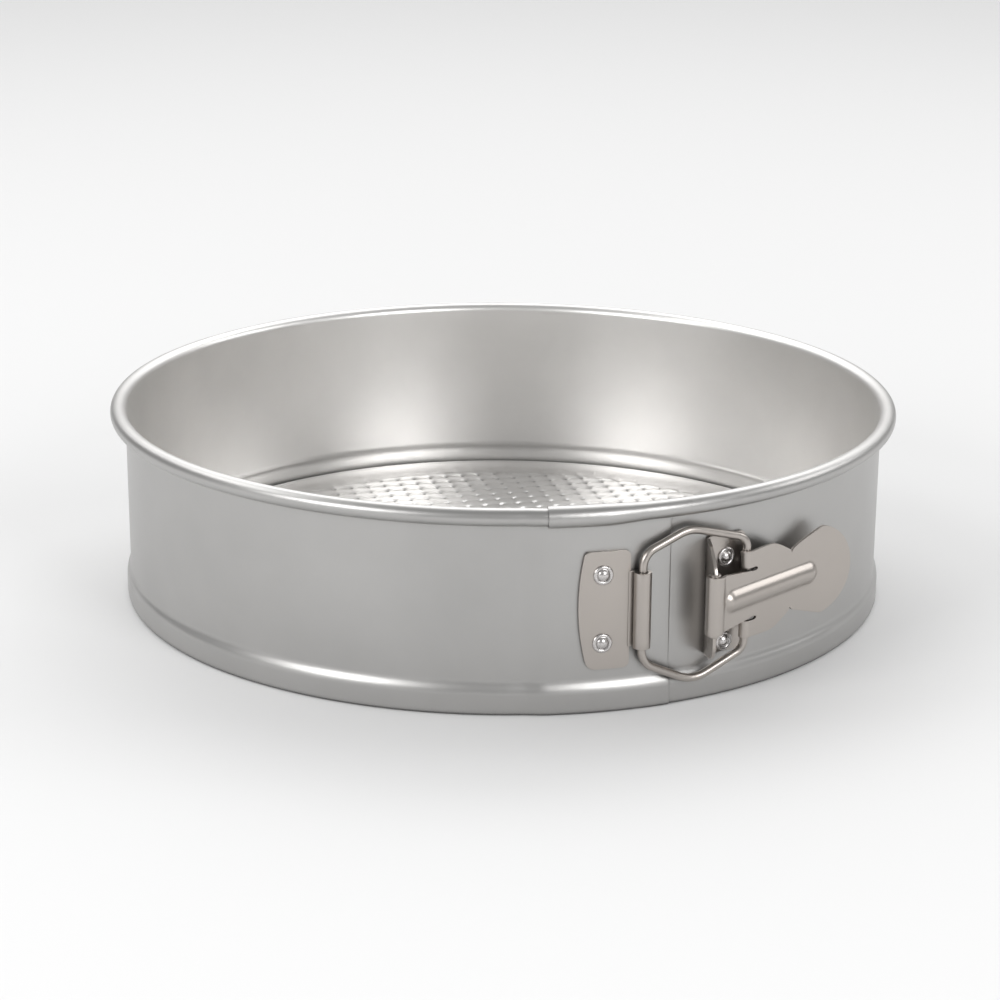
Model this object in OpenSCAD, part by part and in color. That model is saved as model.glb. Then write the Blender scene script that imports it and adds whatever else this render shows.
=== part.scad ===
// Springform pan: an overlapping sheet band with a loose base disc, drawn shut by a wire bail and a lever.
// The origin is on the pan's axis at table level. The latch is at the front, on the -Y side.

/* [Band] */
// Inner radius of the closed band
band_r = 130; // [125:1:140]
// Height of the pan, to the top of the rim
pan_h = 67.5; // [66:0.5:80]
// Thickness of the band's sheet
sheet = 0.5; // [0.4:0.05:0.6]
// Outer radius of the rolled rim's curl
rim_curl_r = 2.8; // [2.4:0.1:3]
// Height of the foot bead
bead_h = 11.5; // [10:0.5:13]
// Height of the soft curve between the wall and the bead
bead_curve_h = 5; // [4:0.5:7]
// How far the foot bead stands out from the wall
bead_out = 1.3; // [0.9:0.05:1.7]
// Width of the inward lip that carries the base disc
lip_w = 3; // [2:0.25:4]

/* [Overlap] */
// Angle of the band's inner end, from the front
inner_end_deg = -19.4; // [-20.5:0.1:-19]
// Angle of the band's outer end, from the front
outer_end_deg = -2; // [-3:0.1:-1]

/* [Base disc] */
// Thickness of the base disc's sheet
disc_sheet = 0.6; // [0.5:0.05:0.8]
// Radial gap between the base disc and the wall
disc_gap = 0.35; // [0.3:0.05:0.8]
// Height of the disc's plateau above the table
plateau_z = 3; // [2.6:0.1:3.4]
// Radius of the raised centre panel
panel_r = 110; // [100:1:114]

/* [Latch] */
// Height of the latch's middle above the table
latch_z = 34; // [33:0.5:36]
// Thickness of the hinge plate and bracket sheet
plate = 1; // [0.8:0.05:1.1]
// Thickness of the lever's sheet
lever_sheet = 0.9; // [0.7:0.05:1]
// Radius of the bail's wire
wire_r = 1.3; // [1.1:0.05:1.4]
// Radial running clearance of the pivots
pivot_gap = 0.05; // [0.03:0.01:0.1]
// Radius of the bracket's pivot bar
bar_r = 1.8; // [1.6:0.05:1.9]
// Radius of the lever's round thumb tab
tab_r = 15; // [14.4:0.2:15.6]

/* [Hidden] */
$fn = 96;

steel = [0.72, 0.73, 0.73];
nickel = [0.7, 0.66, 0.63];
bright = [0.85, 0.84, 0.83];

// Sweeps that follow each other share this angle, so that they join.
seam_deg = 0.2;
ply_gap = 0.1;
ply = sheet + ply_gap;
joggle_deg = 3;
joggle_steps = 4;
flare_deg = 9;
flare_steps = 5;
wall_out_r = band_r + sheet;
flap_out_r = wall_out_r + ply;

// Rivets: a low flange with a dome on it, and a flush tail
rivet_shank_r = 1.6;
rivet_hole_r = rivet_shank_r + 0.05;
rivet_flange_r = 3.15;
rivet_flange_h = 0.5;
rivet_dome_r = 1.9;
rivet_dome_h = 0.85;

// Hinge plate: arc lengths and heights from its own middle angle and the middle of the latch
hinge_plate_deg = -11.6;
hinge_plate_x = [-6.1, 8.2];
hinge_plate_bow = 1.95;
hinge_plate_z = [-19.6, 18.4];
hinge_rivet_deg = -11.8;
hinge_rivet_dz = 11;
knuckle_deg = -6.6;
knuckle_r = 2.75;
knuckle_z = [-12.8, 11.6];
knuckle_axis_r = flap_out_r + knuckle_r + 0.1;
knuckle_x = knuckle_axis_r * sin(knuckle_deg);
knuckle_y = -knuckle_axis_r * cos(knuckle_deg);

// Bracket: its flange leans from its foot on the wall to the pivot bar
bar_x = 5.9;
bar_y = -(wall_out_r + 9.5);
flange_foot_x = 8.4;
flange_foot_y = -wall_out_r;
flange_lean = atan2(bar_x - flange_foot_x, flange_foot_y - bar_y);
flange_len = norm([bar_x - flange_foot_x, bar_y - flange_foot_y]);
flange_edge = flange_len + 1.3;
notch_w = 5;
bracket_deg = 6.6;
bracket_x = [-7.2, 7];
bracket_z = [-19.6, 19];
bracket_rivet_deg = 6.5;
bracket_rivet_dz = [-16.2, 11.5];

// Lever: u runs along it from the pivot bar, v runs from its front face to the wall
lever_deg = 20.4;
lever_front = 1.75;
curl_bore_r = bar_r + pivot_gap;
curl_r = curl_bore_r + lever_sheet;
curl_half_h = 9.4;
curl_end_gap = 0.4;
bail_u = 15.6;
ear_gap = 0.15;
ear_bore_r = wire_r + ear_gap;
bail_v = lever_sheet + ear_bore_r;
ear_in = 8.7;
ear_out = 14.1;
slot_end_u = 18.4;
strip_end = 7.5;
bump_u = 27;
bump_half_h = 14.7;
neck_u = 35.2;
neck_half_h = 10;
tab_u = neck_u + 12;
tab_side_slope = 0.32;
tab_bend_u = [48.8, 54];
tab_bend_deg = [-8, -18];
rib_u = [6.6, 44];
rib_half_h = 3.5;
rib_rise = 1.7;

// Bail: corners in its own plane, u from the knuckle's axis and heights from the middle of the latch
bail_x = bar_x + bail_u * cos(lever_deg) - (bail_v - lever_front) * sin(lever_deg);
bail_y = bar_y + bail_u * sin(lever_deg) + (bail_v - lever_front) * cos(lever_deg);
bail_w = norm([bail_x - knuckle_x, bail_y - knuckle_y]);
bail_deg = atan2(bail_y - knuckle_y, bail_x - knuckle_x);
bail_top = [[0, 17.1], [15.6, 23.6], [bail_w, 18.2]];
bail_top_bends = [6, 11, 4.5];
bail_foot = [[0, -18.1], [18, -26.6], [bail_w, -18.2]];
bail_foot_bends = [7, 11, 5];
bail_leg_z = [-13.4, 12.8];

// Points of an arc about c, from angle a0 to a1
function arc(c, r, a0, a1, n = 8) =
    [for (i = [0:n]) let (a = a0 + (a1 - a0) * i / n) c + r * [cos(a), sin(a)]];

// One face of the band's section, h off the sheet's middle: foot lip, bead, wall and rolled rim
function band_face(h, grow, lip) =
    let (
        mid_r = band_r + sheet / 2,
        bead_mid = mid_r + bead_out,
        foot_r = 1,
        bead_deg = 2 * atan(bead_out / bead_curve_h),
        s_r = bead_curve_h / (2 * sin(bead_deg)),
        curl_mid = rim_curl_r - sheet / 2 + grow,
        curl_c = mid_r + curl_mid,
        curl_top = pan_h - rim_curl_r
    )
    concat(
        [[mid_r + bead_out - lip, sheet / 2 - h]],
        arc([bead_mid - foot_r, foot_r + sheet / 2], foot_r + h, -90, 0, 6),
        arc([bead_mid - s_r, bead_h - bead_curve_h], s_r + h, 0, bead_deg, 5),
        arc([mid_r + s_r, bead_h], s_r - h, 180 + bead_deg, 180, 5),
        arc([curl_c, curl_top], curl_mid - h, 180, -130, 20)
    );

// The band's section as a closed strip. grow enlarges the rim's curl.
module band_section(grow = 0) {
    outer = band_face(sheet / 2, grow, lip_w + bead_out);
    inner = band_face(-sheet / 2, grow, lip_w + bead_out);
    polygon(concat(outer, [for (i = [len(inner) - 1:-1:0]) inner[i]]));
}

// Sweeps the band's section between two angles from the front, moved out by shift
module band_sweep(from_deg, to_deg, shift = 0, grow = 0) {
    rotate_extrude(angle = to_deg - from_deg, start = from_deg - 90)
        translate([shift, 0])
            band_section(grow);
}

module radial_hole(deg, z) {
    rotate([0, 0, deg])
        translate([0, -band_r + 5, z])
            rotate([90, 0, 0])
                cylinder(r = rivet_hole_r, h = 15, $fn = 48);
}

module side_band() {
    color(steel)
        difference() {
            union() {
                main_end = 360 + inner_end_deg - joggle_deg;
                band_sweep(outer_end_deg + flare_deg, main_end);
                for (i = [1:joggle_steps])
                    band_sweep(inner_end_deg - joggle_deg * (1 - (i - 1) / joggle_steps) - seam_deg,
                               inner_end_deg - joggle_deg * (1 - i / joggle_steps),
                               ply * i / joggle_steps);
                band_sweep(inner_end_deg - seam_deg, outer_end_deg, ply);
                band_sweep(inner_end_deg + seam_deg, outer_end_deg, 0, ply);
                for (i = [1:flare_steps])
                    band_sweep(outer_end_deg + flare_deg * (i - 1) / flare_steps - seam_deg,
                               outer_end_deg + flare_deg * i / flare_steps + seam_deg,
                               0, ply * (1 - i / (flare_steps + 1)));
            }
            for (side = [-1, 1])
                radial_hole(hinge_rivet_deg, latch_z + side * hinge_rivet_dz);
            for (dz = bracket_rivet_dz)
                radial_hole(bracket_rivet_deg, latch_z + dz);
        }
}

// Pressed disc with a rolled edge, a shallow ring and a raised centre panel
module base_disc() {
    edge_r = band_r - disc_gap;
    curl = 1.4;
    step = 0.4;
    edge_z = sheet + 0.02;
    plate_end = edge_r - 2 * curl + disc_sheet;
    color(steel) {
        rotate_extrude()
            translate([edge_r - curl, edge_z + curl])
                difference() {
                    circle(r = curl, $fn = 48);
                    circle(r = curl - disc_sheet, $fn = 48);
                }
        rotate_extrude()
            polygon([
                [0, plateau_z + step],
                [panel_r, plateau_z + step],
                [panel_r + step, plateau_z],
                [plate_end, plateau_z],
                [plate_end, plateau_z - disc_sheet],
                [panel_r + step, plateau_z - disc_sheet],
                [panel_r, plateau_z + step - disc_sheet],
                [0, plateau_z + step - disc_sheet]
            ]);
    }
}

// A corner of an outline, rounded to radius r: the points of its arc
function corner(before, at, after, r) =
    let (
        to_before = (before - at) / norm(before - at),
        to_after = (after - at) / norm(after - at),
        half = acos(to_before * to_after) / 2,
        middle = (to_before + to_after) / norm(to_before + to_after),
        c = at + middle * r / sin(half),
        turn = cross(at - before, after - at) > 0 ? 1 : -1,
        mid_deg = atan2(-middle[1], -middle[0]),
        sweep = turn * (90 - half)
    )
    r == 0 ? [at] : arc(c, r, mid_deg - sweep, mid_deg + sweep, 8);

// An outline with each corner rounded to its own radius
function rounded(pts, radii) =
    let (n = len(pts))
    [for (i = [0:n - 1]) each corner(pts[(i + n - 1) % n], pts[i], pts[(i + 1) % n], radii[i])];

// Wraps a flat outline on the wall: a curved plate of inner radius r about the angle mid_deg
module curved_plate(r, mid_deg) {
    intersection() {
        rotate([0, 0, mid_deg])
            translate([0, 0, latch_z])
                rotate([90, 0, 0])
                    linear_extrude(r + 20)
                        children();
        translate([0, 0, latch_z - 30])
            difference() {
                cylinder(r = r + plate, h = 60, $fn = 256);
                translate([0, 0, -1])
                    cylinder(r = r, h = 62, $fn = 256);
            }
    }
}

// Hinge plate: bowed on its free side, with a knuckle that the bail turns in
module hinge_plate() {
    x = hinge_plate_x;
    z = hinge_plate_z;
    z_mid = (z[0] + z[1]) / 2;
    chord = (z[1] - z[0]) / 2;
    bow_r = (chord * chord + hinge_plate_bow * hinge_plate_bow) / (2 * hinge_plate_bow);
    tab_x = knuckle_axis_r * sin(knuckle_deg - hinge_plate_deg);
    tab_inset = 0.15;
    color(nickel)
        difference() {
            union() {
                curved_plate(flap_out_r, hinge_plate_deg)
                    union() {
                        polygon(rounded([[x[0], z[0]], [x[1], z[0]], [x[1], z[1]], [x[0], z[1]]],
                                        [1.8, 1.6, 1.6, 1.8]));
                        intersection() {
                            translate([x[0] - hinge_plate_bow + bow_r, z_mid])
                                circle(r = bow_r, $fn = 256);
                            translate([x[0] - hinge_plate_bow - 1, z[0] + 1.8])
                                square([hinge_plate_bow + 3, 2 * chord - 3.6]);
                        }
                        translate([x[1] - 1, knuckle_z[0] + tab_inset])
                            square([tab_x - x[1] + 1, knuckle_z[1] - knuckle_z[0] - 2 * tab_inset]);
                    }
                translate([knuckle_x, knuckle_y, latch_z + knuckle_z[0]])
                    cylinder(r = knuckle_r, h = knuckle_z[1] - knuckle_z[0]);
            }
            translate([knuckle_x, knuckle_y, latch_z + knuckle_z[0] - 1])
                cylinder(r = wire_r + pivot_gap, h = knuckle_z[1] - knuckle_z[0] + 2);
            for (side = [-1, 1])
                radial_hole(hinge_rivet_deg, latch_z + side * hinge_rivet_dz);
        }
}

// Rivet whose head sits at radius head_r and whose tail ends flush at radius tail_r
module rivet(deg, z, head_r, tail_r) {
    dome_r = (pow(rivet_dome_r, 2) + pow(rivet_dome_h, 2)) / (2 * rivet_dome_h);
    dome_deg = asin(rivet_dome_r / dome_r);
    color(bright)
        rotate([0, 0, deg])
            translate([0, -head_r, z])
                rotate([90, 0, 0])
                    rotate_extrude($fn = 48)
                        polygon(concat(
                            [
                                [0, tail_r - head_r],
                                [rivet_shank_r, tail_r - head_r],
                                [rivet_shank_r, 0],
                                [rivet_flange_r, 0],
                                [rivet_flange_r - 0.3, rivet_flange_h]
                            ],
                            arc([0, rivet_flange_h + rivet_dome_h - dome_r], dome_r, 90 - dome_deg, 90, 6)
                        ));
}

module hinge_rivet_upper() {
    rivet(hinge_rivet_deg, latch_z + hinge_rivet_dz, flap_out_r + plate, band_r + ply);
}

module hinge_rivet_lower() {
    rivet(hinge_rivet_deg, latch_z - hinge_rivet_dz, flap_out_r + plate, band_r + ply);
}

module bracket_rivet_upper() {
    rivet(bracket_rivet_deg, latch_z + bracket_rivet_dz[1], wall_out_r + plate, band_r);
}

module bracket_rivet_lower() {
    rivet(bracket_rivet_deg, latch_z + bracket_rivet_dz[0], wall_out_r + plate, band_r);
}

// Bracket: a foot on the wall, a standing flange with a notch, and the pivot bar across the notch
module latch_bracket() {
    x = bracket_x;
    z = bracket_z;
    notch_z = curl_half_h + curl_end_gap;
    color(nickel) {
        difference() {
            union() {
                curved_plate(wall_out_r, bracket_deg)
                    polygon(rounded([[x[0], z[0]], [x[1], z[0]], [x[1], z[1]], [x[0], z[1]]],
                                    [1.2, 1.6, 1.6, 1.2]));
                difference() {
                    translate([flange_foot_x, flange_foot_y, latch_z])
                        rotate([0, 0, flange_lean])
                            translate([-plate / 2, 0, 0])
                                rotate([90, 0, 90])
                                    linear_extrude(plate)
                                        mirror([1, 0])
                                            polygon(rounded(
                                                [[0.2, -19.2], [6.4, -19], [flange_edge, -14.8],
                                                 [flange_edge, 9.4], [8.2, 13.8], [0.2, 18.6]],
                                                [0, 1, 1, 2, 5, 0]));
                    translate([flange_foot_x, flange_foot_y, latch_z - notch_z])
                        rotate([0, 0, flange_lean])
                            translate([-5, -notch_w - 20, 0])
                                cube([10, 20, 2 * notch_z]);
                }
                translate([bar_x, bar_y, latch_z - notch_z - 0.5])
                    cylinder(r = bar_r, h = 2 * notch_z + 1);
            }
            for (dz = bracket_rivet_dz)
                radial_hole(bracket_rivet_deg, latch_z + dz);
        }
    }
}

// Round wire along a path of 2D points, as rings square to the path
module wire_sweep(path, r, sides = 12) {
    n = len(path);
    along = [for (i = [0:n - 1]) path[min(i + 1, n - 1)] - path[max(i - 1, 0)]];
    points = [for (i = [0:n - 1])
        let (across = [along[i][1], -along[i][0]] / norm(along[i]))
        for (k = [0:sides - 1])
            let (a = 360 * k / sides)
            [path[i][0] + r * cos(a) * across[0], path[i][1] + r * cos(a) * across[1], r * sin(a)]];
    tube = [for (i = [0:n - 2])
        for (k = [0:sides - 1])
            let (next = (k + 1) % sides)
            [i * sides + k, i * sides + next, (i + 1) * sides + next, (i + 1) * sides + k]];
    start_cap = [for (k = [sides - 1:-1:0]) k];
    end_cap = [for (k = [0:sides - 1]) (n - 1) * sides + k];
    polyhedron(points, concat([start_cap], tube, [end_cap]));
}

// One end of the bail, from one leg over three corners to the other leg
module bail_end(corners, bends, leg_h) {
    wire_sweep(rounded(
        concat([[corners[0][0], leg_h]], corners, [[corners[2][0], leg_h]]),
        concat([0], bends, [0])
    ), wire_r - 0.01);
}

// Bail: one closed loop of round wire with six bends, standing in the plane of its two pivots
module wire_bail() {
    color(nickel)
        translate([knuckle_x, knuckle_y, latch_z])
            rotate([0, 0, bail_deg])
                rotate([90, 0, 0]) {
                    for (x = [0, bail_w])
                        translate([x, bail_leg_z[0], 0])
                            rotate([-90, 0, 0])
                                cylinder(r = wire_r, h = bail_leg_z[1] - bail_leg_z[0], $fn = 48);
                    bail_end(bail_top, bail_top_bends, bail_leg_z[1] - 1);
                    bail_end(bail_foot, bail_foot_bends, bail_leg_z[0] + 1);
                }
}

// The lever's flat outline, u along it and height from its middle
module lever_outline() {
    half = [
        [curl_bore_r * 0.7, curl_half_h],
        [bail_u, strip_end + 0.2],
        [slot_end_u - 0.6, strip_end],
        [slot_end_u, (strip_end + ear_in) / 2],
        [slot_end_u - 0.6, ear_in],
        [bail_u, ear_in],
        [bail_u, ear_out],
        [bump_u, bump_half_h],
        [neck_u, neck_half_h],
        [tab_u, neck_half_h + tab_side_slope * (tab_u - neck_u)]
    ];
    radii = [0, 0, 0.4, 0.4, 0.4, 0, 0, 5, 0, 0];
    n = len(half);
    polygon(rounded(
        concat(half, [for (i = [n - 1:-1:0]) [half[i][0], -half[i][1]]]),
        concat(radii, [for (i = [n - 1:-1:0]) radii[i]])
    ));
    end_u = tab_u + tab_r + 1;
    end_half_h = neck_half_h + tab_side_slope * (end_u - neck_u);
    intersection() {
        translate([tab_u, 0])
            circle(r = tab_r, $fn = 128);
        polygon([[neck_u, -neck_half_h], [end_u, -end_half_h], [end_u, end_half_h], [neck_u, neck_half_h]]);
    }
}

// The lever's sheet from its side: flat along the rib, with the tab bent outward
module lever_side() {
    end_u = tab_u + tab_r + 1;
    bent_v = (tab_bend_u[1] - tab_bend_u[0]) * tan(tab_bend_deg[0]);
    end_v = bent_v + (end_u - tab_bend_u[1]) * tan(tab_bend_deg[1]);
    front = [[0, 0], [tab_bend_u[0], 0], [tab_bend_u[1], bent_v], [end_u, end_v]];
    polygon(concat(front, [for (i = [len(front) - 1:-1:0]) front[i] + [0, lever_sheet]]));
}

// The lever's sheet, standing, with its front face at v = 0
module lever_plate() {
    reach = 20;
    intersection() {
        translate([0, 0, -reach])
            linear_extrude(2 * reach)
                lever_side();
        translate([0, reach, 0])
            rotate([90, 0, 0])
                linear_extrude(2 * reach)
                    lever_outline();
    }
}

// Round bar along the rib, r is its radius about a line behind the lever's front face
module rib_bar(r, behind) {
    translate([rib_u[0], behind, 0]) {
        rotate([0, 90, 0])
            cylinder(r = r, h = rib_u[1] - rib_u[0]);
        sphere(r = r);
    }
    translate([rib_u[1], behind, 0])
        sphere(r = r);
}

// Half an open curl round the bail's leg: the front and the side nearest the pivot bar
module ear(side) {
    base = side > 0 ? ear_in : -ear_out;
    translate([bail_u, bail_v, base])
        intersection() {
            difference() {
                cylinder(r = ear_bore_r + lever_sheet, h = ear_out - ear_in, $fn = 72);
                translate([0, 0, -1])
                    cylinder(r = ear_bore_r, h = ear_out - ear_in + 2, $fn = 72);
            }
            translate([-5, -5, -1])
                cube([5, 5, ear_out - ear_in + 2]);
        }
}

// Lever: pressed sheet with a rib, two ears, a curl round the pivot bar and a round thumb tab
module lever() {
    rib_r = (pow(rib_half_h, 2) + pow(rib_rise, 2)) / (2 * rib_rise);
    rib_axis = rib_r - rib_rise;
    color(nickel)
        translate([bar_x, bar_y, latch_z])
            rotate([0, 0, lever_deg])
                difference() {
                    union() {
                        translate([0, 0, -curl_half_h])
                            cylinder(r = curl_r, h = 2 * curl_half_h);
                        translate([0, -lever_front, 0])
                            difference() {
                                union() {
                                    lever_plate();
                                    intersection() {
                                        rib_bar(rib_r, rib_axis);
                                        translate([0, -rib_rise - 1, -rib_half_h - 1])
                                            cube([60, rib_rise + 1 + lever_sheet / 2, 2 * rib_half_h + 2]);
                                    }
                                    ear(1);
                                    ear(-1);
                                }
                                rib_bar(rib_r - lever_sheet, rib_axis);
                            }
                    }
                    translate([0, 0, -curl_half_h - 1])
                        cylinder(r = curl_bore_r, h = 2 * curl_half_h + 2);
                }
}

side_band();
base_disc();
hinge_plate();
hinge_rivet_upper();
hinge_rivet_lower();
latch_bracket();
bracket_rivet_upper();
bracket_rivet_lower();
wire_bail();
lever();
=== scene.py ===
"""Springform pan: the visible pieces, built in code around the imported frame. Sizes are in millimetres."""
from math import acos, asin, atan2, cos, degrees, hypot, pi, radians, sin, sqrt, tan

import bmesh
import bpy
from mathutils import Matrix, Vector


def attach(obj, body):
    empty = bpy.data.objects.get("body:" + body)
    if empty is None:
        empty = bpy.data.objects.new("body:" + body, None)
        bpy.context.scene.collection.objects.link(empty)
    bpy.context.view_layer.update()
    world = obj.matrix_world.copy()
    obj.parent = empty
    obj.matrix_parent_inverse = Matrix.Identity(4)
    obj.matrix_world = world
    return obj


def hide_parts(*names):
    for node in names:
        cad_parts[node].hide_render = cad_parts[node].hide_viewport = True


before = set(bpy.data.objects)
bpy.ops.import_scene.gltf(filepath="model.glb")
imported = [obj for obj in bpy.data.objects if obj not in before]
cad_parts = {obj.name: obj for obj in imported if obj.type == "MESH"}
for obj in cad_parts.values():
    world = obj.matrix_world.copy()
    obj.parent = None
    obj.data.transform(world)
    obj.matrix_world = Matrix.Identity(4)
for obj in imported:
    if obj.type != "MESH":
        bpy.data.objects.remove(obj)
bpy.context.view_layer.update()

MM = 0.001

# ---------------------------------------------------------------- driving sizes
# Angles go round the pan in degrees from its front, positive to the right.
BAND_R = 130.0              # inside of the wall
PAN_H = 67.5
SHEET = 0.5
PLY = 0.6                   # step out to the second layer of the overlap
RIM_CURL_R = 2.8
BEAD_H = 11.5
BEAD_CURVE_H = 5.0          # height of the soft curve between the wall and the bead
BEAD_OUT = 1.3
LIP_W = 3.0
LIP_W_UNDER = 0.3           # the lip is cut away where the band runs under itself
WALL_OUT_R = BAND_R + SHEET
FLAP_OUT_R = WALL_OUT_R + PLY
INNER_END = -19.4
OUTER_END = -2.0
JOGGLE = 3.0                # degrees over which the outer layer steps out
EDGE_ROLL = 0.25            # degrees over which the outer end's free edge rolls in

DISC_EDGE_R = 129.65
DISC_SHEET = 0.6
DISC_CURL = 1.4
DISC_EDGE_Z = 0.52
PLATEAU_Z = 3.0
RING_Z = PLATEAU_Z + 0.05   # the ring between the panel and the rolled edge
PANEL_R = 111.6
WAFFLE_PITCH = 6.5
WAFFLE_TURN = -11.5
PIT_R = 2.1
DOME_TOP = 0.9              # top of a dome above the plateau
DOME_H = 1.25               # from the bottom of a pit to the top of a dome

LATCH_Z = 34.0
PLATE = 1.0
BAR = (5.9, -140.0)         # the lever's pivot bar, seen from above
BAR_R = 1.8
LEVER_DEG = 20.4
LEVER_SHEET = 0.9
WIRE_R = 1.3
PLATE_DEG = -11.6           # middle of the hinge plate
BRACKET_DEG = 6.6
KNUCKLE_DEG = -6.6
KNUCKLE_R = 2.75
KNUCKLE_AXIS_R = FLAP_OUT_R + KNUCKLE_R + 0.1
KNUCKLE = (KNUCKLE_AXIS_R * sin(radians(KNUCKLE_DEG)), -KNUCKLE_AXIS_R * cos(radians(KNUCKLE_DEG)))


# ---------------------------------------------------------------- helpers
SHARP = 38                  # degrees between two faces from which their edge looks sharp
SAME_POINT = 0.004


def smooth(t):
    """0 below 0, 1 above 1, with a smooth rise between."""
    t = min(max(t, 0.0), 1.0)
    return t * t * (3 - 2 * t)


def arc(cx, cy, r, a0, a1, n):
    """Points of an arc from angle a0 to a1 in degrees."""
    steps = [radians(a0 + (a1 - a0) * i / n) for i in range(n + 1)]
    return [(cx + r * cos(a), cy + r * sin(a)) for a in steps]


def spaced(a, b, step):
    """Evenly spaced numbers from a to b, about step apart."""
    n = max(1, round(abs(b - a) / step))
    return [a + (b - a) * i / n for i in range(n + 1)]


def polar(r, deg, z):
    """A point at radius r and angle deg from the front."""
    a = radians(deg)
    return (r * sin(a), -r * cos(a), z)


def rounded(points, radii, n=8):
    """A closed outline with each corner rounded to its own radius."""
    out = []
    count = len(points)
    for i, (p, r) in enumerate(zip(points, radii)):
        a = Vector(points[i - 1]) - Vector(p)
        b = Vector(points[(i + 1) % count]) - Vector(p)
        if r == 0:
            out.append(tuple(p))
            continue
        a.normalize()
        b.normalize()
        half = acos(max(-1.0, min(1.0, a.dot(b)))) / 2
        mid = (a + b).normalized()
        c = Vector(p) + mid * (r / sin(half))
        turn = 1 if (-a).cross(b) > 0 else -1
        mid_deg = degrees(atan2(-mid.y, -mid.x))
        sweep = turn * (90 - degrees(half))
        out += arc(c.x, c.y, r, mid_deg - sweep, mid_deg + sweep, n)
    return out


def piece(name, verts, faces, material, body, node, sharp=SHARP):
    """A mesh in millimetres that rides on a body, stands for a CAD node and takes a material slot."""
    mesh = bpy.data.meshes.new(name)
    mesh.from_pydata([(x * MM, y * MM, z * MM) for x, y, z in verts], [], faces)
    mesh.validate()
    mesh.materials.append(material)
    obj = bpy.data.objects.new(name, mesh)
    bpy.context.scene.collection.objects.link(obj)
    finish_shading(obj, sharp)
    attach(obj, body)
    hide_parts(node)
    return obj


def finish_shading(obj, sharp):
    """Smooth shading, except at edges sharper than sharp degrees."""
    mesh = obj.data
    bm = bmesh_of(mesh)
    bm.to_mesh(mesh)
    bm.free()
    mesh.shade_smooth()
    mesh.set_sharp_from_angle(angle=radians(sharp))


def bmesh_of(mesh):
    """The mesh with shared corners merged and its faces turned outward."""
    bm = bmesh.new()
    bm.from_mesh(mesh)
    bmesh.ops.remove_doubles(bm, verts=bm.verts, dist=SAME_POINT * MM)
    bmesh.ops.recalc_face_normals(bm, faces=bm.faces)
    return bm


def soften(obj, width, segments=3, angle=50):
    """Rounds an object's sharp edges and keeps the result in its mesh."""
    bevel = obj.modifiers.new("bevel", "BEVEL")
    bevel.width = width * MM
    bevel.segments = segments
    bevel.limit_method = "ANGLE"
    bevel.angle_limit = radians(angle)
    bevel.use_clamp_overlap = True
    graph = bpy.context.evaluated_depsgraph_get()
    mesh = bpy.data.meshes.new_from_object(obj.evaluated_get(graph))
    obj.modifiers.clear()
    old = obj.data
    obj.data = mesh
    mesh.name = obj.name
    bpy.data.meshes.remove(old)
    mesh.shade_smooth()
    mesh.set_sharp_from_angle(angle=radians(SHARP))


def join_meshes(parts):
    """Several (verts, faces) as one."""
    verts, faces = [], []
    for v, f in parts:
        base = len(verts)
        verts += v
        faces += [tuple(base + i for i in face) for face in f]
    return verts, faces


def strip_faces(rows, cols, closed=False):
    """Quads between rows of points; a closed row joins its last point to its first."""
    faces = []
    last = cols if closed else cols - 1
    for i in range(rows - 1):
        for j in range(last):
            k = (j + 1) % cols
            faces.append((i * cols + j, i * cols + k, (i + 1) * cols + k, (i + 1) * cols + j))
    return faces


def swept(sections, cap=True):
    """A closed section carried along: each entry of sections is one ring of points."""
    cols = len(sections[0])
    verts = [p for ring in sections for p in ring]
    faces = strip_faces(len(sections), cols, closed=True)
    if cap:
        faces.append(tuple(reversed(range(cols))))
        faces.append(tuple(range(len(verts) - cols, len(verts))))
    return verts, faces


def lathe(profile, place, segments=48):
    """Turns a profile of (radius, height) about its axis; place maps a point to the row frame."""
    verts, faces = [], []
    for r, h in profile:
        ring = [2 * pi * k / segments for k in range(segments)]
        verts += [place(r * cos(a), r * sin(a), h) for a in ring]
    faces = strip_faces(len(profile), segments, closed=True)
    faces.append(tuple(reversed(range(segments))))
    faces.append(tuple(range(len(verts) - segments, len(verts))))
    return verts, faces


def thick_sheet(grid, skip, to_row, thickness):
    """A sheet from rows of flat points. to_row maps (row, column, depth); skip leaves quads out."""
    rows, cols = grid
    used = [(i, j) for i in range(rows - 1) for j in range(cols - 1) if not skip(i, j)]
    index, verts, faces, edges = {}, [], [], {}
    for i, j in used:
        for corner in ((i, j), (i, j + 1), (i + 1, j + 1), (i + 1, j)):
            if corner not in index:
                index[corner] = len(verts)
                verts.append(to_row(*corner, 0.0))
                verts.append(to_row(*corner, thickness))
    for i, j in used:
        ring = [index[c] for c in ((i, j), (i, j + 1), (i + 1, j + 1), (i + 1, j))]
        faces.append(tuple(ring))
        faces.append(tuple(v + 1 for v in reversed(ring)))
        for a, b in zip(ring, ring[1:] + ring[:1]):
            edges.setdefault(frozenset((a, b)), []).append((a, b))
    for sides in edges.values():
        if len(sides) == 1:
            a, b = sides[0]
            faces.append((b, a, a + 1, b + 1))
    return verts, faces


def whole(i, j):
    """For thick_sheet: leaves no quads out."""
    return False


# ---------------------------------------------------------------- materials
NEARLY_FACING = 0.8         # cosine from which a face counts as wholly outside or inside
PIT_SHADE_TONE = 0.35             # share of the colour left at the bottom of a pit by its painted shade
CREVICE_SHADE_REACH = 3.0          # how near a neighbour has to be for a place to get painted shade
# share of the colour left by the painted shade in the narrowest places
CREVICE_SHADE_TONE = 0.3
BLOTCH = 28.0               # size of the slow changes of tone
GRAIN_H = 0.02
ROUGH_SPREAD = 0.05


def from_axis(nodes, links, coords):
    """The level vector from the pan's axis to a point."""
    flat = nodes.new("ShaderNodeVectorMath")
    flat.operation = "MULTIPLY"
    flat.inputs[1].default_value = (1, 1, 0)
    links.new(coords.outputs["Object"], flat.inputs[0])
    return flat.outputs["Vector"]


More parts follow.
